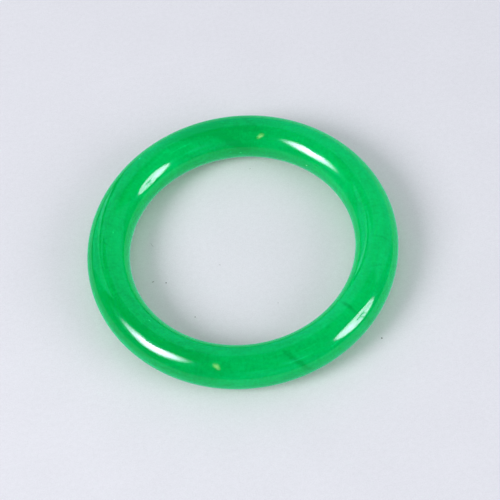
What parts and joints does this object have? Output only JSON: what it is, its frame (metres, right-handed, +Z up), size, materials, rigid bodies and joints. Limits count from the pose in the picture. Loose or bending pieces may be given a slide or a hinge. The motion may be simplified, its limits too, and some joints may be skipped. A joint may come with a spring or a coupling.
{
  "type": "bangle bracelet",
  "caption": "One-piece closed bangle: a polished ring of solid, milky green glass with a round section, worn round the wrist.",
  "frame": {"origin": "middle of the circle on which the flat-lying ring rests, at its bottom", "axes": "+Z up along the ring's axis, the way a hand passes through; X and Y in the plane of the ring, equal by symmetry"},
  "size_m": [0.0772, 0.0772, 0.0106],
  "materials": {
    "green_glass": "fire-polished, milky translucent green with fine flow streaks"
  },
  "bodies": {
    "root": {"bangle_ring": "green_glass"}
  },
  "joints": []
}
